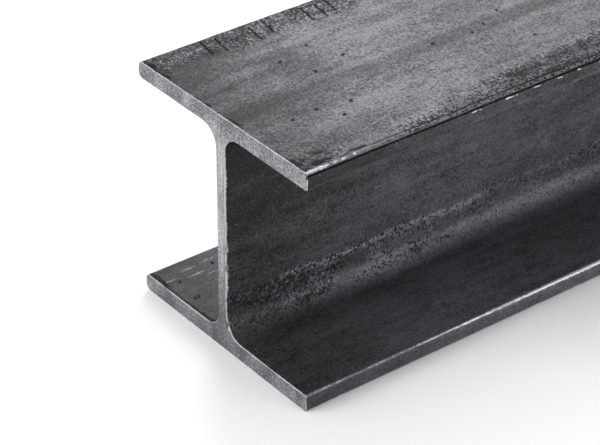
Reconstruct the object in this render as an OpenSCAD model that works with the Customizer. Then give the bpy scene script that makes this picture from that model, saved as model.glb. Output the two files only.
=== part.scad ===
// Length of hot-rolled wide-flange steel beam, sawn square at both ends.
//
// The beam is rolled from one billet, so it is one solid: two equal flanges joined by a thinner web,
// with a round fillet at each of the four roots. It lies on its lower flange, as it would on a floor.
// +X runs along the length, +Y across the flanges and +Z up the web.
// The origin is at the middle of the underside of the lower flange.

/* [Section] */
// Overall depth of the section, from the underside of one flange to the top of the other
depth = 125; // [100:1:400]
// Width of both flanges
flange_w = 125; // [100:1:400]
// Thickness of both flanges, which are parallel-sided
flange_t = 9; // [7:0.5:30]
// Thickness of the web
web_t = 6.5; // [4:0.5:20]
// Radius of the fillets where the web meets the flanges
root_r = 10; // [4:0.5:18]

/* [Flange tips] */
// Radius of the tip corners on the outer faces of the flanges
tip_outer_r = 2; // [0.5:0.5:2.5]
// Radius of the tip corners on the inner faces of the flanges, which the rolls leave rounder
tip_inner_r = 3; // [0.5:0.5:4]

/* [Cut length] */
// Length of the piece between its two saw cuts
cut_l = 1000; // [150:10:12000]

/* [Hidden] */
// Smoothness of the round corners
$fn = 96;
// How far a shape reaches into or past its neighbour, so that no sliver is left between them
reach = 0.5;

// The children and their mirror image across the plane whose normal is given
module both_sides(normal) {
    children();
    mirror(normal) children();
}

// What lies between a square corner at the origin, whose inside is towards +X +Y, and the arc that
// rounds it. It reaches a little back past both sides of the corner.
module spandrel(r) {
    difference() {
        translate([-reach, -reach]) square(r + reach);
        translate([r, r]) circle(r);
    }
}

// Upper flange, with the middle of its top face at [0, depth / 2]
module flange() {
    difference() {
        translate([-flange_w / 2, depth / 2 - flange_t]) square([flange_w, flange_t]);
        both_sides([1, 0]) {
            translate([-flange_w / 2, depth / 2]) mirror([0, 1]) spandrel(tip_outer_r);
            translate([-flange_w / 2, depth / 2 - flange_t]) spandrel(tip_inner_r);
        }
    }
}

// Fillets under the upper flange, one on each side of the web
module root_fillets() {
    both_sides([1, 0])
        translate([web_t / 2, depth / 2 - flange_t]) mirror([0, 1]) spandrel(root_r);
}

// Whole rolled section, centred on its two axes of symmetry
module section() {
    square([web_t, depth - flange_t], center = true);
    both_sides([0, 1]) {
        flange();
        root_fillets();
    }
}

// The rolled beam between its two saw cuts
module i_beam() {
    color([0.33, 0.34, 0.36])
        translate([-cut_l / 2, 0, depth / 2])
            rotate([90, 0, 90])
                linear_extrude(cut_l) section();
}

i_beam();
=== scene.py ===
"""Looks of a length of hot-rolled wide-flange steel beam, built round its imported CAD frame.

The beam is one piece: a fine mesh swept along the rolled section, with sawn ends, worn flange tips and
two finishes, dark mill scale on what the rolls touched and bare steel where the saw or wear cut it.
Sizes are in metres unless a name says millimetres.
"""

import logging
import math
from collections.abc import Iterable
from dataclasses import dataclass, field
from enum import Enum
from functools import reduce

import bpy
import numpy as np
from mathutils import Euler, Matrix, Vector

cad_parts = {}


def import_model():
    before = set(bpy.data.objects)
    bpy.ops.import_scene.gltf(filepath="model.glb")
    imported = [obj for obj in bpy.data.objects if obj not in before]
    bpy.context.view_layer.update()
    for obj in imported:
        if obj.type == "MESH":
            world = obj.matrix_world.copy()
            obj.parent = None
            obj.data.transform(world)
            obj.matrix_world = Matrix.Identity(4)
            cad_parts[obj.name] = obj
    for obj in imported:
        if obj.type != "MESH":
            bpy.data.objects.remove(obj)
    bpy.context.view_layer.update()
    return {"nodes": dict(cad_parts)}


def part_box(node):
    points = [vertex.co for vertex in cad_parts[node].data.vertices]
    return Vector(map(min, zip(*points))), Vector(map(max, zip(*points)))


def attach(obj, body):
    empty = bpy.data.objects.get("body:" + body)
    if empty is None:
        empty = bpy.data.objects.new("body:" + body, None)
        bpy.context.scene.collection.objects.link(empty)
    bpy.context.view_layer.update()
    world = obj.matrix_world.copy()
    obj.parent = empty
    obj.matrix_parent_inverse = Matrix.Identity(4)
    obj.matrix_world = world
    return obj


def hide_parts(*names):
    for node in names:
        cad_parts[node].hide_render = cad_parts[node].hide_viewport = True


log = logging.getLogger("steel_beam")

MM = 0.001
BAKE_MAP = "OFBake"
SURFACE_MAP = "Unrolled"

Colour = tuple[float, float, float]
Place = tuple[float, float]
Point = tuple[float, float, float]


class Layer(Enum):
    """What the mesh keeps at each point for the finishes, where 0 is none and 1 is the usual most.

    BARE is metal that shows, DIRT black marks and painted shade in grooves and the root corner,
    ROUGH broken scale, SHADE how light the scale is, painted shade and sheen included, and PALE
    how much lighter than that a place is, painted highlights and sheen included.
    """

    BARE = "bare"
    DIRT = "dirt"
    ROUGH = "rough"
    SHADE = "shade"
    PALE = "pale"


# ---------------------------------------------------------------------------------------------------
# Noise for the mesh
# ---------------------------------------------------------------------------------------------------


def lattice_noise(along: np.ndarray, across: np.ndarray, seed: int) -> np.ndarray:
    """Smooth noise with about one rise or fall per unit of its coordinates.

    Args:
        along: First coordinate of each point.
        across: Second coordinate of each point, of a shape that broadcasts with the first.
        seed: Picks the pattern, so that each use has its own.

    Returns:
        A value from 0 to 1 for each point.
    """
    size = 256
    table = np.random.default_rng(seed).random((size, size))
    along, across = np.broadcast_arrays(along, across)
    cell_a = np.floor(along).astype(int)
    cell_b = np.floor(across).astype(int)
    share_a = along - cell_a
    share_b = across - cell_b
    share_a = share_a * share_a * (3 - 2 * share_a)
    share_b = share_b * share_b * (3 - 2 * share_b)

    def corner(step_a: int, step_b: int) -> np.ndarray:
        """The table's value at one corner of each point's cell."""
        return table[(cell_a + step_a) % size, (cell_b + step_b) % size]

    low = corner(0, 0) * (1 - share_a) + corner(1, 0) * share_a
    high = corner(0, 1) * (1 - share_a) + corner(1, 1) * share_a
    return low * (1 - share_b) + high * share_b


def smooth_step(low: float, high: float, value: np.ndarray) -> np.ndarray:
    """Eases from 0 at low to 1 at high, in whichever order they come."""
    share = np.clip((value - low) / (high - low), 0, 1)
    return share * share * (3 - 2 * share)


def bell(gap: np.ndarray) -> np.ndarray:
    """Falls from 1 at a gap of 0 to nearly 0 at a gap of 2 either way."""
    return np.exp(-(gap**2))


# ---------------------------------------------------------------------------------------------------
# Shader expressions
# ---------------------------------------------------------------------------------------------------


class Wire:
    """One output socket of a finish's node tree, which Python's operators turn into Math nodes."""

    def __init__(self, graph: "Graph", socket: bpy.types.NodeSocket) -> None:
        """Keeps the socket and the tree that it belongs to."""
        self.graph = graph
        self.socket = socket

    def math(self, operation: str, *values: "Wire | float") -> "Wire":
        """A Math node whose first value is this socket.

        Args:
            operation: The Math node's operation.
            values: Its further values, in order.

        Returns:
            The node's result.
        """
        return self.graph.node("ShaderNodeMath", {"operation": operation}, dict(enumerate((self, *values))))

    def __add__(self, other: "Wire | float") -> "Wire":
        """Sum."""
        return self.math("ADD", other)

    __radd__ = __add__

    def __mul__(self, other: "Wire | float") -> "Wire":
        """Product."""
        return self.math("MULTIPLY", other)

    __rmul__ = __mul__

    def __sub__(self, other: "Wire | float") -> "Wire":
        """Difference."""
        return self.math("SUBTRACT", other)

    def __rsub__(self, other: float) -> "Wire":
        """Difference from a number, such as 1 - mask."""
        return self.graph.node("ShaderNodeMath", {"operation": "SUBTRACT"}, {0: other, 1: self})

    def __truediv__(self, other: "Wire | float") -> "Wire":
        """Quotient."""
        return self.math("DIVIDE", other)

    def __rtruediv__(self, other: float) -> "Wire":
        """A number divided by this."""
        return self.graph.node("ShaderNodeMath", {"operation": "DIVIDE"}, {0: other, 1: self})

    def __pow__(self, other: "Wire | float") -> "Wire":
        """Power."""
        return self.math("POWER", other)

    def __abs__(self) -> "Wire":
        """Size without sign."""
        return self.math("ABSOLUTE")

    def step(self, low: float, high: float) -> "Wire":
        """Eases from 0 at low to 1 at high, or from 1 to 0 where low is the larger number.

        Args:
            low: Where the result is 0.
            high: Where the result is 1.

        Returns:
            The eased value.
        """
        first, last = min(low, high), max(low, high)
        ends = (0.0, 1.0) if low < high else (1.0, 0.0)
        inputs = {"Value": self, "From Min": first, "From Max": last, "To Min": ends[0], "To Max": ends[1]}
        return self.graph.node("ShaderNodeMapRange", {"interpolation_type": "SMOOTHSTEP"}, inputs)


Value = Wire | float | Colour


def nearest(gaps: Iterable[Wire]) -> Wire:
    """The smallest of several distances at each point."""
    return reduce(lambda one, other: one.math("MINIMUM", other), gaps)


class Graph:
    """The node tree of one finish."""

    def __init__(self, name: str) -> None:
        """Makes an empty material.

        Args:
            name: The material's name.
        """
        self.material = bpy.data.materials.new(name)
        self.material.use_nodes = True
        self.tree = self.material.node_tree
        self.tree.nodes.clear()
        self.end = self.tree.nodes.new("ShaderNodeOutputMaterial")

    def node(
        self,
        kind: str,
        settings: dict[str, object] | None = None,
        inputs: dict[str | int, Value] | None = None,
        output: str | int = 0,
    ) -> Wire:
        """Adds a node of any type.

        Args:
            kind: The node's type.
            settings: Its own settings, which are made first.
            inputs: Values or links of its sockets, by name, identifier or number.
            output: The output that is wanted, by name, identifier or number.

        Returns:
            That output.
        """
        made = self.tree.nodes.new(kind)
        for name, value in (settings or {}).items():
            setattr(made, name, value)
        for key, value in (inputs or {}).items():
            self.feed(self.find(made.inputs, key), value)
        return Wire(self, self.find(made.outputs, output))

    @staticmethod
    def find(sockets: bpy.types.bpy_prop_collection, key: str | int) -> bpy.types.NodeSocket:
        """A node's socket.

        Args:
            sockets: The node's inputs or outputs.
            key: The socket's number, identifier or name.

        Returns:
            The socket.
        """
        if isinstance(key, int):
            return sockets[key]
        named = [s for s in sockets if s.identifier == key]
        return named[0] if named else sockets[key]

    def feed(self, socket: bpy.types.NodeSocket, value: Value) -> None:
        """Links a wire to a socket, or sets the socket's own value.

        Args:
            socket: The socket.
            value: The wire, number or colour that it gets.
        """
        if isinstance(value, Wire):
            self.tree.links.new(value.socket, socket)
        elif isinstance(value, tuple) and len(socket.default_value) == len(value) + 1:
            socket.default_value = (*value, 1.0)
        else:
            socket.default_value = value

    def mix(self, share: Value, first: Value, second: Value) -> Wire:
        """Mixes two colours.

        Args:
            share: How much of the second colour shows, from 0 to 1.
            first: The colour at 0.
            second: The colour at 1.

        Returns:
            The mixed colour.
        """
        inputs = {"Factor_Float": share, "A_Color": first, "B_Color": second}
        return self.node("ShaderNodeMix", {"data_type": "RGBA"}, inputs, "Result_Color")

    def noise(self, place: Wire, scale: float, detail: float = 3.0, roughness: float = 0.5) -> Wire:
        """Noise that runs from about 0.2 to 0.8.

        Args:
            place: Where the noise is read.
            scale: Bumps per unit of place.
            detail: Finer octaves.
            roughness: Strength of each finer octave.

        Returns:
            The noise's value.
        """
        inputs = {"Vector": place, "Scale": scale, "Detail": detail, "Roughness": roughness}
        return self.node("ShaderNodeTexNoise", None, inputs)

    def stretched(self, place: Wire, along: float, across: float, seed: float) -> Wire:
        """A place scaled by its own amounts along the beam and across the surface.

        Args:
            place: A place on the unrolled surface.
            along: Scale along the beam.
            across: Scale across the surface.
            seed: Moves the pattern, so that each use has its own.

        Returns:
            The scaled place.
        """
        scaled = self.node(
            "ShaderNodeVectorMath", {"operation": "MULTIPLY"}, {0: place, 1: (along, across, 1.0)}
        )
        return self.node(
            "ShaderNodeVectorMath", {"operation": "ADD"}, {0: scaled, 1: (seed, seed * 0.37, seed * 1.7)}
        )

    def distance(self, first: Wire, second: Point) -> Wire:
        """Distance from each point to a fixed one."""
        return self.node("ShaderNodeVectorMath", {"operation": "DISTANCE"}, {0: first, 1: second}, "Value")

    def attribute(self, name: str) -> Wire:
        """A number that the mesh keeps at each point."""
        return self.node("ShaderNodeAttribute", {"attribute_name": name}, None, "Fac")

    def surface(self, sockets: dict[str, Value], bump: Wire, depth: float) -> None:
        """Ends the tree with its shader.

        Args:
            sockets: What the shader's sockets get.
            bump: Height of the relief, from 0 to 1.
            depth: Height of the relief at 1, in metres.
        """
        relief = self.node("ShaderNodeBump", None, {"Strength": 1.0, "Distance": depth, "Height": bump})
        shader = self.node("ShaderNodeBsdfPrincipled", None, {**sockets, "Normal": relief})
        self.feed(self.end.inputs["Surface"], shader)


# ---------------------------------------------------------------------------------------------------
# Finishes
# ---------------------------------------------------------------------------------------------------


@dataclass(frozen=True)
class MillScale:
    """Blue-grey oxide left by hot rolling, streaked lengthwise, pitted, and rubbed through at the edges.

    Marks are placed in millimetres, along the beam from its low end and then across it, and come back at
    each turn of the roll. Their places are along and across; a scratch line has its half length too, and
    a nick has its height. Pits are longer one way, which leans from the beam's length by an angle in
    degrees, so a gap along it is squeezed before it is measured.
    """

    dark: Colour = (0.0108, 0.0081, 0.0080)
    grey: Colour = (0.190, 0.199, 0.223)
    steel: Colour = (0.52, 0.53, 0.55)
    pit: Colour = (0.004, 0.004, 0.004)
    relief: float = 0.30 * MM
    roll_turn: float = 210.0
    roll_start: float = -500.0
    pit_size: float = 0.90
    pit_lean: float = 52.0
    pit_squeeze: float = 0.62
    pits: tuple[Place, ...] = (
        (69, 27), (50, 21.5), (57.5, 5), (37, -22), (23, -23), (77, 10), (161, 0),
        (137.5, -10), (116, -7), (147, -7), (54, -25), (44, -33), (159, -29),
    )
    inside_pits: tuple[Place, ...] = (
        (6.2, 30.4), (8.6, 30.9), (8.5, 46.0), (30.5, 50.0), (75, 36), (121, 47),
    )
    inside_z: float = 9.0
    cracks: tuple[float, ...] = (31, 38.5, 57.5, 66, 88, 95.5, 102, 141, 152, 187)
    crack_y: float = 51.0
    crack_half: float = 8.2
    crack_slant: float = 0.15
    scratch_lines: tuple[tuple[float, float, float], ...] = (
        (6, 49.5, 4.0), (18, 53.0, 4.5), (19, 47.0, 5.0), (26, 43.5, 3.5), (31, 54.0, 5.0), (29, 38.0, 3.0),
        (60, 50.0, 6.0), (96, 42.0, 7.0), (133, 53.0, 6.0), (170, 46.0, 5.0),
    )
    nicks: tuple[Point, ...] = ((0.6, -4.4, 16.8), (1.2, -5.2, 15.2), (2.5, -6.6, 13.7))

    def make(self, top: float) -> bpy.types.Material:
        """Builds the material.

        Args:
            top: Height of the beam's top face, in millimetres.

        Returns:
            The material.
        """
        g = Graph("mill_scale")
        # The surface map is in millimetres: along the beam, then round its section.
        place = g.node("ShaderNodeUVMap", {"uv_map": SURFACE_MAP})
        layer = {which: g.attribute(which.value) for which in Layer}
        rough = layer[Layer.ROUGH]
        streaks = g.noise(g.stretched(place, 0.014, 0.17, 3.0), 1.0, 3.0, 0.55)
        clouds = g.noise(g.stretched(place, 0.030, 0.050, 11.0), 1.0, 4.0, 0.6)
        blotches = g.noise(g.stretched(place, 0.11, 0.19, 31.0), 1.0, 3.0, 0.6)
        fine = g.noise(g.stretched(place, 0.55, 0.60, 5.0), 1.0, 2.0, 0.6)
        grain = g.noise(g.stretched(place, 0.95, 0.78, 17.0), 1.0, 2.0, 0.65)
        speckle = g.noise(g.stretched(place, 0.72, 0.60, 41.0), 1.0, 2.0, 0.7)

        # All the variation is stronger where the scale is rough, and weaker where it is dark.
        tone = (streaks + clouds + blotches - 1.5) * (0.5 + rough * 0.9)
        tone = tone + (fine - 0.5) * (0.8 + rough * 0.8)
        tone = tone + (grain - 0.5) * (1.3 + rough * 2.1) + (speckle - 0.5) * rough * 4.2
        # The shade layer brings painted shade on the upper near web and a painted sheen on the top face.
        tone = tone * (layer[Layer.SHADE] * 0.65 + 0.35) + layer[Layer.SHADE] * 0.55
        # The pale layer brings painted highlights along the lower root and the near upper corner, besides
        # paler scale.
        tone = (tone + layer[Layer.PALE] * (0.25 + speckle * 1.2)) * 0.78
        marks, lines = self.marks(g, top)
        scars, scratches = self.scars(g, place)
        # The dirt layer turns black here: real marks, and painted shade in the lip's grooves and the root
        # corner.
        dirt = (layer[Layer.DIRT] + (grain - 0.5) * 0.8 + (speckle - 0.5) * 1.1).step(0.46, 0.58)
        dirt = dirt * layer[Layer.DIRT].step(0.03, 0.2)
        black = marks.math("MAXIMUM", dirt * 0.95).math("MAXIMUM", scars)
        glints = (speckle + (grain - 0.5) * 0.6 + (rough - 1.35) * 0.06).step(0.60, 0.72)
        glints = glints * rough.step(0.6, 1.4) * blotches.step(0.38, 0.58)
        bare = (layer[Layer.BARE] + (fine - 0.5) * 0.9 + (speckle - 0.5) * 0.8).step(0.42, 0.66)
        bare = (bare * layer[Layer.BARE].step(0.04, 0.2)).math("MAXIMUM", self.bright_nicks(g))

        colour = g.mix(tone, self.dark, self.grey)
        colour = g.mix((scratches * 0.45).math("MAXIMUM", lines * 0.42), colour, self.steel)
        colour = g.mix(glints * 0.46, colour, self.steel)
        colour = g.mix(black, colour, self.pit)
        colour = g.mix(bare, colour, self.steel)
        height = fine * 0.35 + grain * 0.30 + speckle * rough * 0.8 - black * 0.9
        metal = black.math("MAXIMUM", 0.35)
        sockets = {
            "Base Color": colour,
            "Metallic": metal + bare * (0.9 - metal),
            "Roughness": 0.52 + (fine - 0.5) * 0.3 + rough * 0.10 - bare * 0.16,
            "IOR": 1.5,
            "Specular IOR Level": 0.30,
        }
        g.surface(sockets, height, self.relief)
        return g.material

    @staticmethod
    def scars(g: Graph, place: Wire) -> tuple[Wire, Wire]:
        """Lengthwise dark scars and bright scratches, scattered over every rolled face.

        Args:
            g: The material's node tree.
            place: The surface map.

        Returns:
            Where the scars and the scratches are.
        """
        where = g.noise(g.stretched(place, 0.03, 0.05, 61.0), 1.0, 1.0, 0.5).step(0.46, 0.60)
        scars = g.noise(g.stretched(place, 0.16, 1.0, 67.0), 1.0, 3.0, 0.6).step(0.69, 0.75)
        scratches = g.noise(g.stretched(place, 0.09, 1.2, 71.0), 1.0, 3.0, 0.6).step(0.66, 0.78)
        return scars * where, scratches * where

    def bright_nicks(self, g: Graph) -> Wire:
        """The nick of bare steel that the saw broke out of the lower root, at the near end only.

        Args:
            g: The material's node tree.

        Returns:
            Where the nick is.
        """
        object_place = g.node("ShaderNodeTexCoord", None, None, "Object")
        spot = g.node("ShaderNodeVectorMath", {"operation": "SCALE"}, {0: object_place, "Scale": 1 / MM})
        gap = nearest(g.distance(spot, (x + self.roll_start, y, z)) for x, y, z in self.nicks)
        return gap.step(1.25, 0.75)

    def squeezed(self, along: Wire | float, across: Wire | float) -> tuple[Wire | float, Wire | float]:
        """A place measured along and across the pits' longer way, which counts for less.

        Args:
            along: Distance along the beam, in millimetres.
            across: Distance across it.

        Returns:
            The two measures.
        """
        lean = math.radians(self.pit_lean)
        longer = along * math.cos(lean) + across * math.sin(lean)
        return longer * self.pit_squeeze, across * math.cos(lean) - along * math.sin(lean)

    def marks(self, g: Graph, top: float) -> tuple[Wire, Wire]:
        """Pits and short cracks in the top face and scratches inside, back at each turn of the roll.

        Args:
            g: The material's node tree.
            top: Height of the top face, in millimetres.

        Returns:
            Where the dark marks and the bright scratches are.
        """
        object_place = g.node("ShaderNodeTexCoord", None, None, "Object")
        along, across, height = (
            g.node("ShaderNodeSeparateXYZ", None, {0: object_place}, axis) / MM for axis in "XYZ"
        )
        along = (along - self.roll_start).math("WRAP", self.roll_turn, 0.0)
        spot = g.node("ShaderNodeCombineXYZ", None, {0: along, 1: across, 2: height})
        wobble = g.noise(spot, 0.45, 2.0, 0.6) - 0.5
        ragged = g.noise(g.stretched(spot, 0.5, 1.3, 23.0), 1.0, 3.0, 0.7) - 0.5

        pits = self.pit_gap(g, top, (along, across, height)) + wobble * 1.5
        pits = pits.step(self.pit_size * 1.12, self.pit_size * 0.78)
        cracks = self.crack_gap(along, across, wobble) + wobble * 0.6
        cracks = cracks.step(0.84, 0.42) * height.step(top - 3.0, top - 2.0)
        scratches = self.scratch_gap(along, across, wobble) + ragged * 3.6
        scratches = scratches.step(1.1, 0.0) * height.step(20.0, 14.0)
        return pits.math("MAXIMUM", cracks), scratches

    def pit_gap(self, g: Graph, top: float, spot: tuple[Wire, Wire, Wire]) -> Wire:
        """How far the nearest pit is.

        Args:
            g: The material's node tree.
            top: Height of the top face, in millimetres.
            spot: Each point's place along, across and up.

        Returns:
            The squeezed distance.
        """
        along, across, height = spot
        longer, wider = self.squeezed(along, across)
        here = g.node("ShaderNodeCombineXYZ", None, {0: longer, 1: wider, 2: height})
        places = [(x, y, top) for x, y in self.pits] + [(x, y, self.inside_z) for x, y in self.inside_pits]
        return nearest(g.distance(here, (*self.squeezed(x, y), z)) for x, y, z in places)

    def crack_gap(self, along: Wire, across: Wire, wobble: Wire) -> Wire:
        """How far the nearest crack is.

        Args:
            along: Each point's place along the beam.
            across: The same across it.
            wobble: Noise that bends the cracks.

        Returns:
            The distance, which grows quickly past a crack's ends.
        """
        line = along - (across - self.crack_y) * self.crack_slant + wobble * 2.2
        gaps = []
        for number, x in enumerate(self.cracks):
            # Neighbouring cracks start and end at slightly different places.
            reach = abs(across - self.crack_y + (number % 3 - 1) * 1.3)
            past_end = reach.step(self.crack_half * 0.8, self.crack_half * 1.1)
            gaps.append(abs(line - x) + past_end * 9.0)
        return nearest(gaps)

    def scratch_gap(self, along: Wire, across: Wire, wobble: Wire) -> Wire:
        """How far the nearest scratch inside the lower flange is.

        Args:
            along: Each point's place along the beam.
            across: The same across it.
            wobble: Noise that bends the scratches.

        Returns:
            A measure of the distance, with a scratch pointed at both ends.
        """
        return nearest(
            abs(across - y + wobble * 2.2) * 1.5 + ((along - x) / half) ** 2.0 * 0.8
            for x, y, half in self.scratch_lines
        )


@dataclass(frozen=True)
class SawnSteel:
    """Sawn bare steel: finely mottled, with faint marks of the blade and a painted sheen palest on the web.
    """

    light: Colour = (0.42, 0.43, 0.45)
    dull: Colour = (0.085, 0.088, 0.094)
    relief: float = 0.06 * MM

    def make(self) -> bpy.types.Material:
        """Builds the material.

        Returns:
            The material.
        """
        g = Graph("sawn_steel")
        place = g.node("ShaderNodeUVMap", {"uv_map": SURFACE_MAP})
        clouds = g.noise(g.stretched(place, 0.10, 0.06, 7.0), 1.0, 3.0, 0.55)
        mottle = g.noise(g.stretched(place, 1.05, 0.85, 13.0), 1.0, 3.0, 0.7)
        marks = g.noise(g.stretched(place, 1.0, 0.05, 19.0), 1.0, 2.0, 0.6)
        tone = (clouds - 0.5) * 1.2 + (mottle - 0.5) * 3.0 + (marks - 0.5) * 0.6
        # The pale layer paints the sheen of the saw marks, palest over the upper web.
        tone = tone + 0.22 + g.attribute(Layer.PALE.value) * 0.50
        sockets = {
            "Base Color": g.mix(tone, self.dull, self.light),
            "Metallic": 0.8,
            "Roughness": 0.40 + (mottle - 0.5) * 0.5,
        }
        g.surface(sockets, mottle * 0.6 + marks * 0.5, self.relief)
        return g.material


# ---------------------------------------------------------------------------------------------------
# The beam
# ---------------------------------------------------------------------------------------------------


class Side(Enum):
    """The two long sides of the beam."""

    NEAR = -1
    FAR = 1


class Flange(Enum):
    """The two flanges."""

    LOWER = 0
    UPPER = 1


@dataclass(frozen=True)
class TipCorners:
    """The two long corners of one flange tip: their radii in millimetres, and how worn they are."""

    side: Side
    flange: Flange
    outer_r: float
    inner_r: float
    outer_wear: float
    inner_wear: float


@dataclass
class SectionMesh:
    """The rolled section as a flat mesh, in millimetres: across the flanges, then up the web."""

    points: np.ndarray
    quads: np.ndarray
    outline: np.ndarray


@dataclass
class Skin:
    """The rolled surface as a grid of stations along the beam by points round it, in millimetres.

    x and start run along the beam, from its middle and from its low end, and end_gap is the distance
    from the nearer saw cut. s runs round the section, and y and z are across the flanges and up the web.
    """

    x: np.ndarray
    start: np.ndarray
    end_gap: np.ndarray
    s: np.ndarray
    y: np.ndarray
    z: np.ndarray
    inward: np.ndarray

    @classmethod
    def unrolled(cls, stations: np.ndarray, ring: np.ndarray) -> "Skin":
        """Lays out the grid.

        Args:
            stations: Distances of the cross-sections from the middle of the beam.
            ring: Points of the section's outline.

        Returns:
            The grid.
        """
        ahead, behind = np.roll(ring, -1, 0) - ring, ring - np.roll(ring, 1, 0)
        length = np.linalg.norm(ahead, axis=1)
        tangent = ahead / length[:, None] + behind / np.linalg.norm(behind, axis=1)[:, None]
        tangent /= np.linalg.norm(tangent, axis=1)[:, None]
        x = stations[:, None]
        s = np.concatenate([[0], np.cumsum(length)])
        half = stations[-1]
        inward = np.column_stack([-tangent[:, 1], tangent[:, 0]])
        return cls(x, x + half, half - np.abs(x), s, ring[None, :, 0], ring[None, :, 1], inward)

    def noise(self, along: float, around: float, seed: int) -> np.ndarray:
        """Smooth noise from 0 to 1 over the surface.

        Args:
            along: Length of one rise or fall along the beam, in millimetres.
            around: The same round the section.
            seed: Picks the pattern.

        Returns:
            The noise at each point of the grid.
        """
        return lattice_noise(self.x / along, self.s[None, :-1] / around, seed)


@dataclass
class Zones:
    """Where the bands and patches of the rolled surface are, each from 0 to 1 at each point.

    top is the top face. Two rough bands run along it, far_band and near_band, with inside_band beside the
    near one and near_patch at the near corner. tip_side is the near face of the upper flange. near_web and
    lower_web are the near side of the web, where flakes is a line of flaked scale, below lies under it and
    root_highlight is a painted highlight along the lower root. near_floor is the inside of the lower
    flange.
    """

    top: np.ndarray
    far_band: np.ndarray
    near_band: np.ndarray
    near_patch: np.ndarray
    inside_band: np.ndarray
    tip_side: np.ndarray
    near_web: np.ndarray
    lower_web: np.ndarray
    flakes: np.ndarray
    below: np.ndarray
    root_highlight: np.ndarray
    near_floor: np.ndarray


@dataclass
class RolledBeam:
    """The rolled and sawn beam, as one mesh, with its sizes in millimetres.

    skin is how far the rolled surface stays inside its nominal place, saw_chamfer the size of the broken
    saw edges, and dark_reach how far from a saw cut the scale is darker. cut_marks are the black marks on
    the top face's cut edge, each with its place across and its half width.
    """

    lowest: Vector
    highest: Vector
    flange_t: float = 9.0
    web_t: float = 6.5
    root_r: float = 10.0
    tips: tuple[TipCorners, ...] = (
        TipCorners(Side.NEAR, Flange.UPPER, 2.0, 0.7, 0.0, 0.30),
        TipCorners(Side.FAR, Flange.UPPER, 3.2, 3.4, 0.12, 0.30),
        TipCorners(Side.NEAR, Flange.LOWER, 1.2, 1.4, 0.35, 1.00),
        TipCorners(Side.FAR, Flange.LOWER, 3.9, 3.0, 0.35, 0.40),
    )
    skin: float = 0.10
    saw_chamfer: float = 0.30
    dark_reach: float = 115.0
    cut_marks: tuple[Place, ...] = ((-52.0, 5.0), (-9.0, 6.5), (10.0, 2.5), (43.5, 5.5), (54.0, 4.0))
    mill_scale: MillScale = field(default_factory=MillScale)
    sawn_steel: SawnSteel = field(default_factory=SawnSteel)

    def __post_init__(self) -> None:
        """Takes the outside sizes from the frame."""
        size = (self.highest - self.lowest) / MM
        self.length = size.x
        self.width = size.y
        self.depth = size.z
        self.middle = (self.highest + self.lowest) / 2 / MM

    # Section ------------------------------------------------------------------------------------

    def tip(self, side: Side, flange: Flange) -> TipCorners:
        """The tip on that side of that flange."""
        return next(t for t in self.tips if t.side is side and t.flange is flange)

    @staticmethod
    def run(*stretches: tuple[float, float, int]) -> np.ndarray:
        """Numbers in even steps over several stretches that follow on from each other.

        Args:
            stretches: Each stretch's start, end and number of steps.

        Returns:
            The numbers, with no end repeated.
        """
        parts = [np.linspace(a, b, n + 1)[:-1] for a, b, n in stretches]
        return np.concatenate([*parts, [stretches[-1][1]]])

    @staticmethod
    def arc(centre: Place, radius: float, start: float, end: float, steps: int) -> np.ndarray:
        """Points along an arc, with its angles in degrees.

        Args:
            centre: Centre of the arc.
            radius: Its radius.
            start: Angle of the first point.
            end: Angle of the last point.
            steps: Number of equal steps.

        Returns:
            The points.
        """
        angle = np.radians(np.linspace(start, end, steps + 1))
        return np.column_stack([centre[0] + radius * np.cos(angle), centre[1] + radius * np.sin(angle)])

    def flange_face(self, flange: Flange, outer: bool) -> np.ndarray:
        """One face of a flange, from mid-corner to mid-corner, as though it were the upper flange.

        Args:
            flange: Which flange.
            outer: True for the face away from the web.

        Returns:
            The points, from the near side to the far side.
        """
        half = self.width / 2
        root = self.web_t / 2 + self.root_r
        rim, band = half - 5.0, half - 14.0
        level = self.depth if outer else self.depth - self.flange_t
        turn = 1 if outer else -1
        near, far = (self.tip(side, flange) for side in Side)
        near_r, far_r = (t.outer_r if outer else t.inner_r for t in (near, far))
        first = self.arc((near_r - half, level - turn * near_r), near_r, turn * 135, turn * 90, 3)
        last = self.arc((half - far_r, level - turn * far_r), far_r, turn * 90, turn * 45, 3)
        flat = self.run(
            (near_r - half, -rim, 6),
            (-rim, -band, 6),
            (-band, -root, 9),
            (-root, root, 8),
            (root, band, 9),
            (band, rim, 6),
            (rim, half - far_r, 6),
        )
        flat = np.column_stack([flat, np.full(len(flat), level)])
        return np.vstack([first[:-1], flat, last[1:]])

    def tip_face(self, side: Side, flange: Flange) -> np.ndarray:
        """The face of a flange tip, as though it were the upper flange.

        Args:
            side: Which side of the beam.
            flange: Which flange.

        Returns:
            The points, from mid-corner on the outside to mid-corner on the inside.
        """
        tip = self.tip(side, flange)
        edge = side.value * self.width / 2
        top = self.depth - tip.outer_r
        low = self.depth - self.flange_t + tip.inner_r
        upper, level, lower = (45, 0, -45) if side is Side.FAR else (135, 180, 225)
        first = self.arc((edge - side.value * tip.outer_r, top), tip.outer_r, upper, level, 3)
        last = self.arc((edge - side.value * tip.inner_r, low), tip.inner_r, level, lower, 3)
        flat = self.run((top, low, 7))
        flat = np.column_stack([np.full(len(flat), edge), flat])
        return np.vstack([first[:-1], flat, last[1:]])

    def web_side(self, side: Side) -> np.ndarray:
        """One side of the web with its two root fillets.

        Args:
            side: Which side of the beam.

        Returns:
            The points, from the upper flange to the lower.
        """
        face = side.value * self.web_t / 2
        centre_y = face + side.value * self.root_r
        top = self.depth - self.flange_t - self.root_r
        low = self.flange_t + self.root_r
        upper = self.arc((centre_y, top), self.root_r, 90, 180 if side is Side.FAR else 0, 7)
        lower = self.arc((centre_y, low), self.root_r, *((180, 270) if side is Side.FAR else (0, -90)), 7)
        flat = self.run((top, 34, 13), (34, low, 10))
        flat = np.column_stack([np.full(len(flat), face), flat])
        return np.vstack([upper[:-1], flat, lower[1:]])

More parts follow.
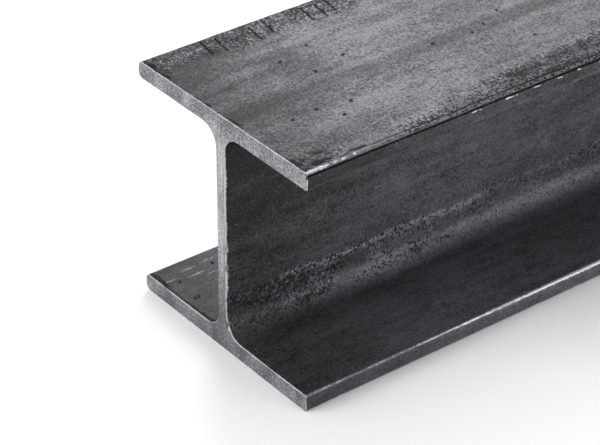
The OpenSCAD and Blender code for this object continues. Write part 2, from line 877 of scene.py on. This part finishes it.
    @staticmethod
    def patch(top: np.ndarray, bottom: np.ndarray, left: np.ndarray, right: np.ndarray) -> np.ndarray:
        """A grid of points filled in smoothly between four edges.

        Args:
            top: Points of the first row.
            bottom: Points of the last row, as many as the first.
            left: Points of the first column, from top to bottom.
            right: Points of the last column.

        Returns:
            The points by row and column.
        """
        u = np.linspace(0, 1, len(top))[None, :, None]
        v = np.linspace(0, 1, len(left))[:, None, None]
        rows = top[None] * (1 - v) + bottom[None] * v
        columns = left[:, None] * (1 - u) + right[:, None] * u
        upper = top[0] * (1 - u) + top[-1] * u
        lower = bottom[0] * (1 - u) + bottom[-1] * u
        return rows + columns - upper * (1 - v) - lower * v

    def section(self) -> SectionMesh:
        """Meshes the whole section.

        Returns:
            The section's points, quads and outline.
        """
        patches = []
        for flange in Flange:
            faces = self.flange_face(flange, True), self.flange_face(flange, False)
            grid = self.patch(*faces, *(self.tip_face(side, flange) for side in Side))
            if flange is Flange.LOWER:
                grid[..., 1] = self.depth - grid[..., 1]
            patches.append(grid)
        root = self.web_t / 2 + self.root_r
        across = [grid[-1][np.abs(grid[-1][:, 0]) < root + 1e-6] for grid in patches]
        patches.append(self.patch(across[1], across[0], *(self.web_side(side) for side in Side)))

        points, quads = [], []
        start = 0
        for grid in patches:
            rows, columns = grid.shape[:2]
            number = start + np.arange(rows * columns).reshape(rows, columns)
            corners = [number[:-1, :-1], number[1:, :-1], number[1:, 1:], number[:-1, 1:]]
            quads.append(np.stack(corners, -1).reshape(-1, 4))
            points.append(grid.reshape(-1, 2))
            start += rows * columns
        points, quads = np.vstack(points), np.vstack(quads)
        _, first, merged = np.unique(np.round(points, 5), axis=0, return_index=True, return_inverse=True)
        points, quads = points[first], merged.reshape(-1)[quads]
        corner = points[quads]
        ahead = np.roll(corner, -1, 1)
        area = (corner[..., 0] * ahead[..., 1] - ahead[..., 0] * corner[..., 1]).sum(1)
        quads[area < 0] = quads[area < 0][:, ::-1]
        return SectionMesh(points, quads, self.outline(points, quads))

    @staticmethod
    def outline(points: np.ndarray, quads: np.ndarray) -> np.ndarray:
        """Finds the section's outline, which is every side that only one quad has.

        Args:
            points: The section's points.
            quads: Its quads, all turned the same way.

        Returns:
            The outline's point numbers, from the middle of the underside towards the far side.
        """
        pairs = {(a, b) for quad in quads.tolist() for a, b in zip(quad, quad[1:] + quad[:1])}
        following = {a: b for a, b in pairs if (b, a) not in pairs}
        start = min(following, key=lambda i: (round(points[i, 1], 4), abs(points[i, 0])))
        order = [start]
        while following[order[-1]] != start:
            order.append(following[order[-1]])
        return np.array(order)

    def stations(self) -> np.ndarray:
        """Places the cross-sections, closest together at the beam's ends.

        Returns:
            Their distances from the middle of the beam.
        """
        half = self.length / 2
        fine = self.run((0, 2, 4), (2, 14, 12), (14, 110, 44), (110, 330, 52), (330, half, 24)) - half
        return np.concatenate([fine, -fine[-2::-1]])

    # Surface ------------------------------------------------------------------------------------

    def tip_wear(self, skin: Skin) -> tuple[np.ndarray, np.ndarray, np.ndarray]:
        """How the eight long tip corners are worn.

        Args:
            skin: The rolled surface.

        Returns:
            How deep each point is nicked, in millimetres, and how bare and how pale it is, from 0 to 1.
        """
        depth = np.zeros(np.broadcast_shapes(skin.x.shape, skin.y.shape))
        bare = np.zeros_like(depth)
        pale = np.zeros_like(depth)
        for number, tip in enumerate(self.tips):
            edge = tip.side.value * self.width / 2
            outer_z = self.depth if tip.flange is Flange.UPPER else 0.0
            corners = ((outer_z, tip.outer_wear), (abs(outer_z - self.flange_t), tip.inner_wear))
            for place, (corner_z, worn) in enumerate(corners):
                seed = 100 + 10 * number + place
                # The middle of a round corner lies 0.29 of its radius inside the sharp one, each way.
                inset = 0.29 * (tip.inner_r if place else tip.outer_r)
                inward = 1 if corner_z < abs(outer_z - self.flange_t / 2) else -1
                gap = np.hypot(skin.y - edge + tip.side.value * inset, skin.z - corner_z - inward * inset)
                broad = lattice_noise(skin.x / 38.0, 0.5, seed)
                nicks = lattice_noise(skin.x / 5.0, gap / 3.0, seed + 200)
                nicks = smooth_step(0.72, 0.95, nicks) * bell(gap / 2.0)
                depth += nicks * (0.06 + 0.40 * worn)
                growing = 0.48 + 0.52 * smooth_step(20, 130, skin.start)
                strength = worn * growing * (0.60 + 0.40 * smooth_step(0.2, 0.6, broad))
                width = 0.55 + 0.85 * worn * smooth_step(60, 190, skin.start)
                bare = np.maximum(bare, strength * bell(gap / width))
                pale = np.maximum(pale, worn * bell(gap / (0.2 + width)))
        return depth, bare, pale

    def rolled_lip(self, skin: Skin) -> tuple[np.ndarray, dict[Layer, np.ndarray]]:
        """The near upper corner, where the rolls left a lip between two fine grooves.

        Args:
            skin: The rolled surface.

        Returns:
            How deep the grooves are, in millimetres, and their layers: painted shade in the grooves, a
            painted highlight along the corner and bare steel where the corner is rubbed.
        """
        half = self.width / 2
        # A gap that no groove reaches, for what isn't beside the corner.
        away = 99.0
        beside = skin.y < 8 - half
        top = np.where(beside & (skin.z > self.depth - 0.6), skin.y + half, away)
        side = np.where(beside & (skin.z < self.depth - 0.4), self.depth - skin.z, away)
        side = np.where(skin.y < 1.0 - half, side, away)
        wander = (skin.noise(14, 60, 301) - 0.5) * 0.5
        along = smooth_step(26, 40, skin.start)
        first = bell((top - 2.9 + wander) / 0.42) * along
        thick = (0.40 + 0.35 * skin.noise(6, 60, 302)) * (1 + 0.7 * smooth_step(100, 220, skin.start))
        second = bell((side - 1.75 - wander * 0.5) / thick)

        corner = np.hypot(skin.y + half - 0.6, skin.z - self.depth + 0.6)
        rim = np.hypot(skin.y + half - 1.0, skin.z - self.depth + 0.35)
        near = smooth_step(60, 15, skin.start)
        ragged = 0.25 + 0.75 * smooth_step(0.25, 0.6, skin.noise(2.2, 60, 305))
        rubbed = bell(rim / 1.05) * near * ragged
        dashes = bell((side - 2.9) / 0.30) * smooth_step(0.45, 0.78, skin.noise(4.2, 60, 303))
        dashes = dashes * (0.25 + 0.60 * smooth_step(70, 110, skin.start))
        # Painted shade darkens the two grooves, and a painted highlight lightens the corner between them;
        # near the low end the rim is rubbed bare and pale.
        layers = {
            Layer.DIRT: np.maximum(first * 0.8, second),
            Layer.BARE: np.maximum(rubbed * 0.80, dashes),
            Layer.PALE: bell(corner) * along * 0.35 + bell(rim / 1.1) * near * 0.9,
        }
        return (first + second) * 0.30, layers

    def zones(self, skin: Skin) -> Zones:
        """Finds the bands and patches of the rolled surface.

        Args:
            skin: The rolled surface.

        Returns:
            Where they are.
        """
        y, z, start = skin.y, skin.z, skin.start
        small = skin.noise(7, 5, 402)
        top = smooth_step(self.depth - 1.2, self.depth - 0.3, z)
        band_edge = -52.0 + 7.0 * smooth_step(50, 175, start) + (small - 0.5) * 4.5
        near_web = (np.abs(y) < self.web_t / 2 + self.root_r) & (y < 0)
        lower_web = near_web & (z < 60) & (z > 5)
        line = 27.7 + (skin.noise(17, 1000, 403) - 0.5) * 5.0
        line_power = 0.25 + 0.75 * smooth_step(18, 45, start) * smooth_step(175, 125, start)
        below = lower_web * smooth_step(line, line - 3.0, z) * smooth_step(9, 13, z)
        return Zones(
            top=top,
            far_band=top * smooth_step(43, 49, y + (small - 0.5) * 9),
            near_band=top * smooth_step(2.5, -4.5, y - band_edge) * smooth_step(40, 85, start),
            near_patch=top * bell((start - 13) / 12) * bell((y + 55.0) / 6.5),
            inside_band=top * bell((y + 47.5) / 2.6) * smooth_step(70, 120, start),
            tip_side=(y < 1.5 - self.width / 2) & (z > 90) & (top < 0.5),
            near_web=near_web,
            lower_web=lower_web,
            flakes=lower_web * bell((z - line) / 1.35) * line_power,
            below=below * (0.35 + 0.65 * smooth_step(150, 100, start)) * smooth_step(0.25, 0.6, small),
            # Painted highlight along the lower root fillet of the near web.
            root_highlight=lower_web * bell((z - 12.0) / 3.4) * smooth_step(10, 90, start),
            near_floor=(y < -self.web_t) & (z < self.flange_t + 3),
        )

    @staticmethod
    def roughness(zones: Zones) -> np.ndarray:
        """How rough the scale is.

        Args:
            zones: Where the bands and patches are.

        Returns:
            The roughness, from 0 where the scale is smooth to about 2 in the near band.
        """
        rough = zones.top * 0.35 + np.where(zones.near_floor, 0.0, 0.12)
        rough = rough + zones.far_band + zones.near_band * 1.9 + zones.near_patch
        return rough + zones.flakes * 2.6 + zones.below * 0.8

    def shade(self, skin: Skin, zones: Zones) -> np.ndarray:
        """How light the scale is: darkest by the saw cuts, with painted shade high on the near web.

        It also holds painted shade on the near face of the upper tip and a painted sheen along the top
        face.

        Args:
            skin: The rolled surface.
            zones: Where the bands and patches are.

        Returns:
            The lightness, from 0 to about 1.4.
        """
        y, z, start, top = skin.y, skin.z, skin.start, zones.top
        # Painted shade near the cuts: darker on the upper near web, which the upper flange overhangs, and
        # on the near face of the upper tip; the lower web and the inside of the lower flange are lighter.
        upper = np.maximum(zones.near_web * smooth_step(30, 70, z), zones.tip_side)
        at_cut = (0.21 + top * 0.33 * smooth_step(30, -50, y)) * (1 - 0.75 * upper)
        at_cut = at_cut + 0.20 * zones.near_floor + 0.12 * zones.lower_web
        wander = (skin.noise(26, 11, 401) - 0.5) * 50
        shade = at_cut + (1 - at_cut) * smooth_step(0, self.dark_reach - 25 * top, skin.end_gap + wander)

        # Painted sheen on the top face: lightest about 74 mm from the low end, dimmer further on at the far
        # side and towards the near edge.
        brighter = 0.03 + 0.44 * bell((start - 74) / 47)
        brighter = brighter - 0.32 * smooth_step(170, 240, start) * smooth_step(0, 30, y)
        brighter = brighter - 0.19 * smooth_step(78, 110, start) * smooth_step(-22, -42, y)
        shade = shade * (1 - 0.42 * zones.far_band - 0.25 * zones.near_patch - 0.20 * zones.near_band)
        shade = shade * (1 + brighter * top)
        # More painted shade on the upper near web and the tip's near face, and every face but the top
        # painted a little darker than the top.
        high = np.maximum(zones.near_web * smooth_step(45, 95, z), zones.tip_side)
        shade = shade * (1 - 0.52 * high) * (0.94 + 0.06 * top)
        return shade * (1 - 0.09 * zones.near_web * smooth_step(120, 170, start))

    def dirt(self, skin: Skin, zones: Zones) -> np.ndarray:
        """Where black marks and painted shade lie: marks mostly along the cut edges and in the rough bands.

        Args:
            skin: The rolled surface.
            zones: Where the bands and patches are.

        Returns:
            Their strength at each point.
        """
        y, z, end_gap, top = skin.y, skin.z, skin.end_gap, zones.top
        on_top = top > 0.5
        open_cut = np.where(on_top, 0.8, (y > 0) & (z < 20))
        marked = np.maximum.reduce([bell((y - middle) / width) for middle, width in self.cut_marks])
        jagged = 0.45 + 1.8 * open_cut * smooth_step(0.25, 0.75, skin.noise(500, 2.0, 407))
        jagged = jagged + 0.8 * marked * top
        often = smooth_step(0.35, 0.6, skin.noise(500, 7, 404)) * 0.8
        power = np.where(on_top, np.maximum(often * 0.6, marked), np.maximum(often, open_cut))
        cut_line = bell((end_gap - 0.7 - 0.6 * open_cut) / jagged) * power
        cut_line = cut_line * smooth_step(self.width / 2 - 0.4, self.width / 2 - 1.6, np.abs(y))
        # Painted shade in the root corner between the web and the lower flange, on the far side by the
        # cuts.
        root_gap = np.hypot(np.abs(y) - self.web_t / 2, z - self.flange_t)
        root_shade = bell(root_gap / 5.0) * smooth_step(4.0, 1.0, end_gap) * (y > 0)

        spots = smooth_step(0.86, 0.93, skin.noise(2.6, 2.6, 405)) * smooth_step(12, 4, end_gap)
        spots = spots * (open_cut > 0)
        dots = top * bell((y + 58.6) / 1.1) * smooth_step(50, 32, skin.start)
        dots = dots * smooth_step(0.42, 0.66, skin.noise(2.6, 2.0, 408))
        crumbs = 0.34 + 0.50 * smooth_step(0.52, 0.78, skin.noise(3.0, 2.2, 406))
        marks = np.maximum(cut_line, root_shade) + spots * 0.8 + dots
        return marks + zones.near_patch * crumbs + zones.near_band * 0.38

    def paint(self, skin: Skin) -> dict[Layer, np.ndarray]:
        """Where the scale is dark, pale, rough or dirty, and where shade and highlights are painted.

        Args:
            skin: The rolled surface.

        Returns:
            Each layer's strength at each point.
        """
        zones = self.zones(skin)
        return {
            Layer.ROUGH: self.roughness(zones),
            Layer.SHADE: self.shade(skin, zones),
            # The pale layer holds paler scale and the flakes, and a painted highlight along the lower root.
            Layer.PALE: zones.inside_band * 0.12 + zones.flakes * 0.65 + zones.root_highlight * 0.30,
            Layer.DIRT: self.dirt(skin, zones),
        }

    def relief(self, skin: Skin) -> np.ndarray:
        """How far the rolled surface lies inside its nominal place.

        Args:
            skin: The rolled surface.

        Returns:
            The depth at each point, in millimetres.
        """
        waves = skin.noise(90, 40, 1) * 0.12
        scale = skin.noise(7, 5, 2) * 0.05
        flakes = smooth_step(0.5, 0.9, skin.noise(3, 2.5, 3)) * 0.05
        return self.skin + waves + scale + flakes

    def build(self) -> bpy.types.Object:
        """Builds the beam's mesh, with its finishes.

        Returns:
            The beam.
        """
        section = self.section()
        skin = Skin.unrolled(self.stations(), section.points[section.outline])
        nicks, bare, pale = self.tip_wear(skin)
        grooves, lip = self.rolled_lip(skin)
        layers = self.paint(skin)
        layers[Layer.BARE] = np.maximum(bare, lip[Layer.BARE])
        # The lip's painted groove shade joins the dirt layer, and its painted corner highlight the pale
        # layer.
        layers[Layer.DIRT] = np.maximum(layers[Layer.DIRT], lip[Layer.DIRT])
        layers[Layer.PALE] = layers[Layer.PALE] + lip[Layer.PALE] + pale * 0.9
        inside = smooth_step(0.5, 4.0, self.width / 2 - np.abs(skin.y))
        pitting = layers[Layer.ROUGH] * skin.noise(2.4, 2.0, 4) * (0.05 + 0.15 * inside)
        depth = self.relief(skin) + nicks + grooves + pitting
        along = np.repeat(skin.x, len(skin.inward), 1)
        self.saw(skin, depth, along, layers[Layer.BARE])

        rings = np.empty((*depth.shape, 3))
        rings[..., 0] = along
        rings[..., 1] = skin.y + skin.inward[:, 0] * depth
        rings[..., 2] = skin.z + skin.inward[:, 1] * depth
        return self.mesh(section, skin, rings, layers)

    def saw(self, skin: Skin, depth: np.ndarray, along: np.ndarray, bare: np.ndarray) -> None:
        """Cuts the two ends and breaks their edges, raggedly and most of all on the web.

        Args:
            skin: The rolled surface.
            depth: How deep each point lies, which is changed at the ends.
            along: Where each point lies along the beam, which is changed at the ends.
            bare: How bare each point is, which is changed at the ends.
        """
        y, z, s = skin.y[0], skin.z[0], skin.s[:-1]
        web = smooth_step(self.web_t / 2 + 3, self.web_t / 2, np.abs(y)) * (y < 0)
        web = web * (np.abs(z - self.depth / 2) < self.depth / 2 - self.flange_t)
        burr = bell((z - 15.0) / 2.2) * (np.abs(y + 5.4) < 2.4)
        corner = smooth_step(self.depth - 7, self.depth - 3, z) * (y < 0.5 - self.width / 2)
        for end, sign in ((0, -1), (-1, 1)):
            ragged = lattice_noise(s / 2.6, 0.5, 50 + end) * 0.9
            ragged = ragged + lattice_noise(s / 12.0, 0.5, 60 + end) * 0.7
            chamfer = self.saw_chamfer * (0.25 + ragged * (1 + 1.5 * web)) + burr * 1.1 + corner * 0.45
            step = end - sign
            depth[end] += chamfer
            along[end] -= sign * self.saw_face(y, z)
            along[step] = along[end] - sign * chamfer
            bare[end] = 1.0
            bare[step] = np.maximum(bare[step], 0.55 + 0.3 * ragged + burr + corner)
            chipped = web * smooth_step(0.35, 0.85, ragged) * 0.62
            bare[step - sign] = np.maximum(bare[step - sign], chipped)
            deeper = chipped * smooth_step(0.7, 1.0, ragged)
            bare[step - 2 * sign] = np.maximum(bare[step - 2 * sign], deeper)

    @staticmethod
    def saw_face(y: np.ndarray, z: np.ndarray) -> np.ndarray:
        """How far the sawn face lies inside the end of the beam, in millimetres."""
        waves = 0.16 * lattice_noise(z / 30.0, y / 45.0, 70)
        return 0.12 + waves + 0.04 * lattice_noise(z / 1.6, y / 40.0, 71)

    def cap(self, section: SectionMesh, ring: np.ndarray, sign: int) -> np.ndarray:
        """The points of a sawn end.

        Args:
            section: The section's mesh.
            ring: The outline's points as built.
            sign: -1 at the low end of the beam and 1 at the high end.

        Returns:
            The points of the end, of which the outline's own are the ring's.
        """
        y, z = section.points.T
        x = sign * (self.length / 2 - self.saw_face(y, z))
        points = np.column_stack([x, y, z])
        points[section.outline] = ring
        return points

    def mesh(
        self, section: SectionMesh, skin: Skin, rings: np.ndarray, layers: dict[Layer, np.ndarray]
    ) -> bpy.types.Object:
        """Joins the rings and the two sawn ends into one closed mesh.

        Args:
            section: The section's mesh.
            skin: The rolled surface.
            rings: Points of each cross-section's outline, in millimetres.
            layers: Each layer's strength at each of those points.

        Returns:
            The beam.
        """
        stations, around = rings.shape[:2]
        count = len(section.points)
        low = self.cap(section, rings[0], -1)
        high = self.cap(section, rings[-1], 1)
        points = np.vstack([low, rings[1:-1].reshape(-1, 3), high])
        number = np.empty((stations, around), int)
        number[0] = section.outline
        number[1:-1] = count + np.arange((stations - 2) * around).reshape(-1, around)
        number[-1] = len(points) - count + section.outline

        after = np.roll(np.arange(around), -1)
        corners = [number[:-1], number[:-1, after], number[1:, after], number[1:]]
        sides = np.stack(corners, -1).reshape(-1, 4)
        faces = np.vstack([sides, section.quads[:, ::-1], section.quads + len(points) - count])

        origin = np.array([self.middle.x, self.middle.y, self.middle.z - self.depth / 2])
        data = bpy.data.meshes.new("rolled_beam")
        data.from_pydata(((points + origin) * MM).tolist(), [], faces.tolist())
        data.materials.append(self.mill_scale.make(self.depth))
        data.materials.append(self.sawn_steel.make())
        sawn = np.arange(len(faces)) >= len(sides)
        data.polygons.foreach_set("material_index", sawn.astype(np.int32))
        data.polygons.foreach_set("use_smooth", np.ones(len(faces), bool))

        on_cap = self.cap_layers(section)
        for which in Layer:
            values = np.zeros(len(points))
            values[:count] = on_cap[which]
            values[-count:] = on_cap[which]
            values[number] = layers[which]
            if which is Layer.PALE:
                values[number[[0, -1]]] = on_cap[which][section.outline]
            attribute = data.attributes.new(which.value, "FLOAT", "POINT")
            attribute.data.foreach_set("value", values.astype(np.float32))

        self.write_maps(data, section, rings, skin.s)
        self.mark_saw_edges(data, number)
        data.validate()
        beam = bpy.data.objects.new("rolled_beam", data)
        bpy.context.scene.collection.objects.link(beam)
        return beam

    def cap_layers(self, section: SectionMesh) -> dict[Layer, np.ndarray]:
        """The layers on a sawn end, with a painted sheen palest over the upper two thirds of the web.

        Args:
            section: The section's mesh.

        Returns:
            Each layer's strength at each point of the section.
        """
        y, z = section.points.T
        layers = {which: np.zeros(len(y)) for which in Layer}
        # Painted sheen of the saw marks: lightest over the upper web, darker beside the web's middle
        # elsewhere.
        middle = smooth_step(22, 6, np.abs(y))
        web = smooth_step(14, 5, np.abs(y)) * smooth_step(24, 58, z) * smooth_step(126, 112, z)
        layers[Layer.PALE] = 0.20 - 0.32 * middle * (1 - web) + 0.62 * web
        layers[Layer.BARE] = np.ones(len(y))
        return layers

    def write_maps(
        self, data: bpy.types.Mesh, section: SectionMesh, rings: np.ndarray, s: np.ndarray
    ) -> None:
        """Writes the map that the finishes read and the map that a bake uses.

        Args:
            data: The mesh.
            section: The section's mesh.
            rings: Points of each cross-section's outline, in millimetres.
            s: Distance round the section to each outline point, and back to the first.
        """
        stations, around = rings.shape[:2]
        x = rings[:, 0, 0]
        corners = np.empty((stations - 1, around, 4, 2))
        ways = ((x[:-1], s[:-1]), (x[:-1], s[1:]), (x[1:], s[1:]), (x[1:], s[:-1]))
        for place, (xs, ss) in enumerate(ways):
            corners[:, :, place, 0] = xs[:, None]
            corners[:, :, place, 1] = ss[None]
        side = corners.reshape(-1, 2)
        low = section.points[section.quads[:, ::-1]].reshape(-1, 2)
        high = section.points[section.quads].reshape(-1, 2)
        low_shift, high_shift = (0.0, 300.0), (300.0, 300.0)
        self.write_map(data, SURFACE_MAP, np.vstack([side, low + low_shift, high + high_shift]))

        # The rolled surface takes a strip of the bake map, and the two ends lie side by side above it.
        margin = 0.006
        strip = 0.715
        body = np.column_stack([side[:, 0] / self.length + 0.5, side[:, 1] / s[-1]])
        body = margin + body * (1 - 2 * margin, strip - margin)
        size = 1 - strip - 3 * margin
        corner = strip + 2 * margin
        face = np.array([self.width, self.depth])
        low_map = (low + (self.width / 2, 0)) / face * size + (margin, corner)
        high_map = (high + (self.width / 2, 0)) / face * size + (3 * margin + size, corner)
        self.write_map(data, BAKE_MAP, np.vstack([body, low_map, high_map]))

    @staticmethod
    def write_map(data: bpy.types.Mesh, name: str, places: np.ndarray) -> None:
        """Adds a map of one place for each face corner."""
        layer = data.uv_layers.new(name=name, do_init=False)
        layer.uv.foreach_set("vector", places.astype(np.float32).ravel())

    @staticmethod
    def mark_saw_edges(data: bpy.types.Mesh, number: np.ndarray) -> None:
        """Keeps the corners of the saw cuts crisp.

        Args:
            data: The mesh.
            number: Point numbers of each cross-section's outline.
        """
        rims = {frozenset(pair) for ring in number[[0, -1]] for pair in zip(ring, np.roll(ring, -1))}
        ends = np.empty(len(data.edges) * 2, np.int32)
        data.edges.foreach_get("vertices", ends)
        sharp = [frozenset(pair) in rims for pair in ends.reshape(-1, 2).tolist()]
        attribute = data.attributes.get("sharp_edge")
        attribute = attribute or data.attributes.new("sharp_edge", "BOOLEAN", "EDGE")
        attribute.data.foreach_set("value", np.array(sharp, bool))


# ---------------------------------------------------------------------------------------------------
# Studio
# ---------------------------------------------------------------------------------------------------


@dataclass(frozen=True)
class Softbox:
    """A square lamp that faces a point on the beam."""

    name: str
    place: Point
    size: float
    watts: float


@dataclass
class Studio:
    """The pale floor, the soft light and the camera.

    The camera's place is from the foot of the beam's near end. Its bearing, dip and roll are in degrees.
    """

    near_end: Vector
    floor_size: float = 14.0
    floor_tone: float = 0.96
    sky: float = 0.50
    softboxes: tuple[Softbox, ...] = (
        Softbox("overhead_softbox", (0.6, 0.4, 2.4), 2.6, 25.0),
        Softbox("back_softbox", (2.6, 3.0, 2.4), 2.4, 94.0),
        Softbox("end_softbox", (-2.6, 0.9, 1.1), 1.6, 54.0),
        Softbox("side_softbox", (0.9, -3.0, 0.55), 1.6, 46.0),
    )
    camera_place: Point = (-0.5586, -0.7814, 0.6845)
    camera_bearing: float = 52.32
    camera_dip: float = 32.66
    camera_roll: float = 0.13
    lens_mm: float = 152.65

    def build(self) -> None:
        """Builds everything round the beam."""
        self.floor()
        self.world()
        for softbox in self.softboxes:
            self.lamp(softbox)
        self.camera()
        bpy.context.scene.view_settings.view_transform = "Standard"

    def floor(self) -> None:
        """A large pale floor under the beam."""
        half = self.floor_size / 2
        corners = [(-half, -half, 0), (half, -half, 0), (half, half, 0), (-half, half, 0)]
        data = bpy.data.meshes.new("floor")
        data.from_pydata(corners, [], [(0, 1, 2, 3)])
        material = bpy.data.materials.new("floor_paper")
        material.use_nodes = True
        shader = material.node_tree.nodes["Principled BSDF"]
        shader.inputs["Base Color"].default_value = (self.floor_tone,) * 3 + (1.0,)
        shader.inputs["Roughness"].default_value = 0.9
        shader.inputs["Specular IOR Level"].default_value = 0.1
        data.materials.append(material)
        floor = bpy.data.objects.new("floor", data)
        bpy.context.scene.collection.objects.link(floor)

    def world(self) -> None:
        """An even pale surround."""
        world = bpy.data.worlds.new("studio")
        world.use_nodes = True
        background = world.node_tree.nodes["Background"]
        background.inputs["Color"].default_value = (1.0, 1.0, 1.0, 1.0)
        background.inputs["Strength"].default_value = self.sky
        bpy.context.scene.world = world

    @staticmethod
    def lamp(softbox: Softbox) -> None:
        """Adds one softbox, turned towards the middle of the beam.

        Args:
            softbox: The lamp's name, place, size and power.
        """
        data = bpy.data.lights.new(softbox.name, "AREA")
        data.shape = "SQUARE"
        data.size = softbox.size
        data.energy = softbox.watts
        lamp = bpy.data.objects.new(softbox.name, data)
        lamp.location = softbox.place
        lamp.rotation_mode = "QUATERNION"
        lamp.rotation_quaternion = (-Vector(softbox.place)).to_track_quat("-Z", "Y")
        bpy.context.scene.collection.objects.link(lamp)

    def camera(self) -> None:
        """The camera, looking down past the near sawn end and along the beam."""
        data = bpy.data.cameras.new("camera")
        data.lens = self.lens_mm
        data.sensor_width = 36.0
        camera = bpy.data.objects.new("camera", data)
        camera.location = self.near_end + Vector(self.camera_place)
        tilt = math.radians(90 - self.camera_dip)
        turn = math.radians(self.camera_bearing - 90)
        facing = Euler((tilt, 0.0, turn), "XYZ").to_quaternion()
        roll = Euler((0.0, 0.0, math.radians(self.camera_roll)), "XYZ").to_quaternion()
        camera.rotation_mode = "QUATERNION"
        camera.rotation_quaternion = facing @ roll
        bpy.context.scene.collection.objects.link(camera)
        bpy.context.scene.camera = camera


def main() -> None:
    """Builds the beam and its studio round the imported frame."""
    logging.basicConfig(level=logging.INFO, format="%(name)s: %(message)s")
    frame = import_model()
    log.info("frame: %s", ", ".join(frame["nodes"]))
    lowest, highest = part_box("i_beam")
    Studio(Vector((lowest.x, (lowest.y + highest.y) / 2, lowest.z))).build()
    beam = RolledBeam(lowest, highest).build()
    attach(beam, "root")
    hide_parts("i_beam")
    log.info("%s: %d faces", beam.name, len(beam.data.polygons))


if __name__ == "__main__":
    main()
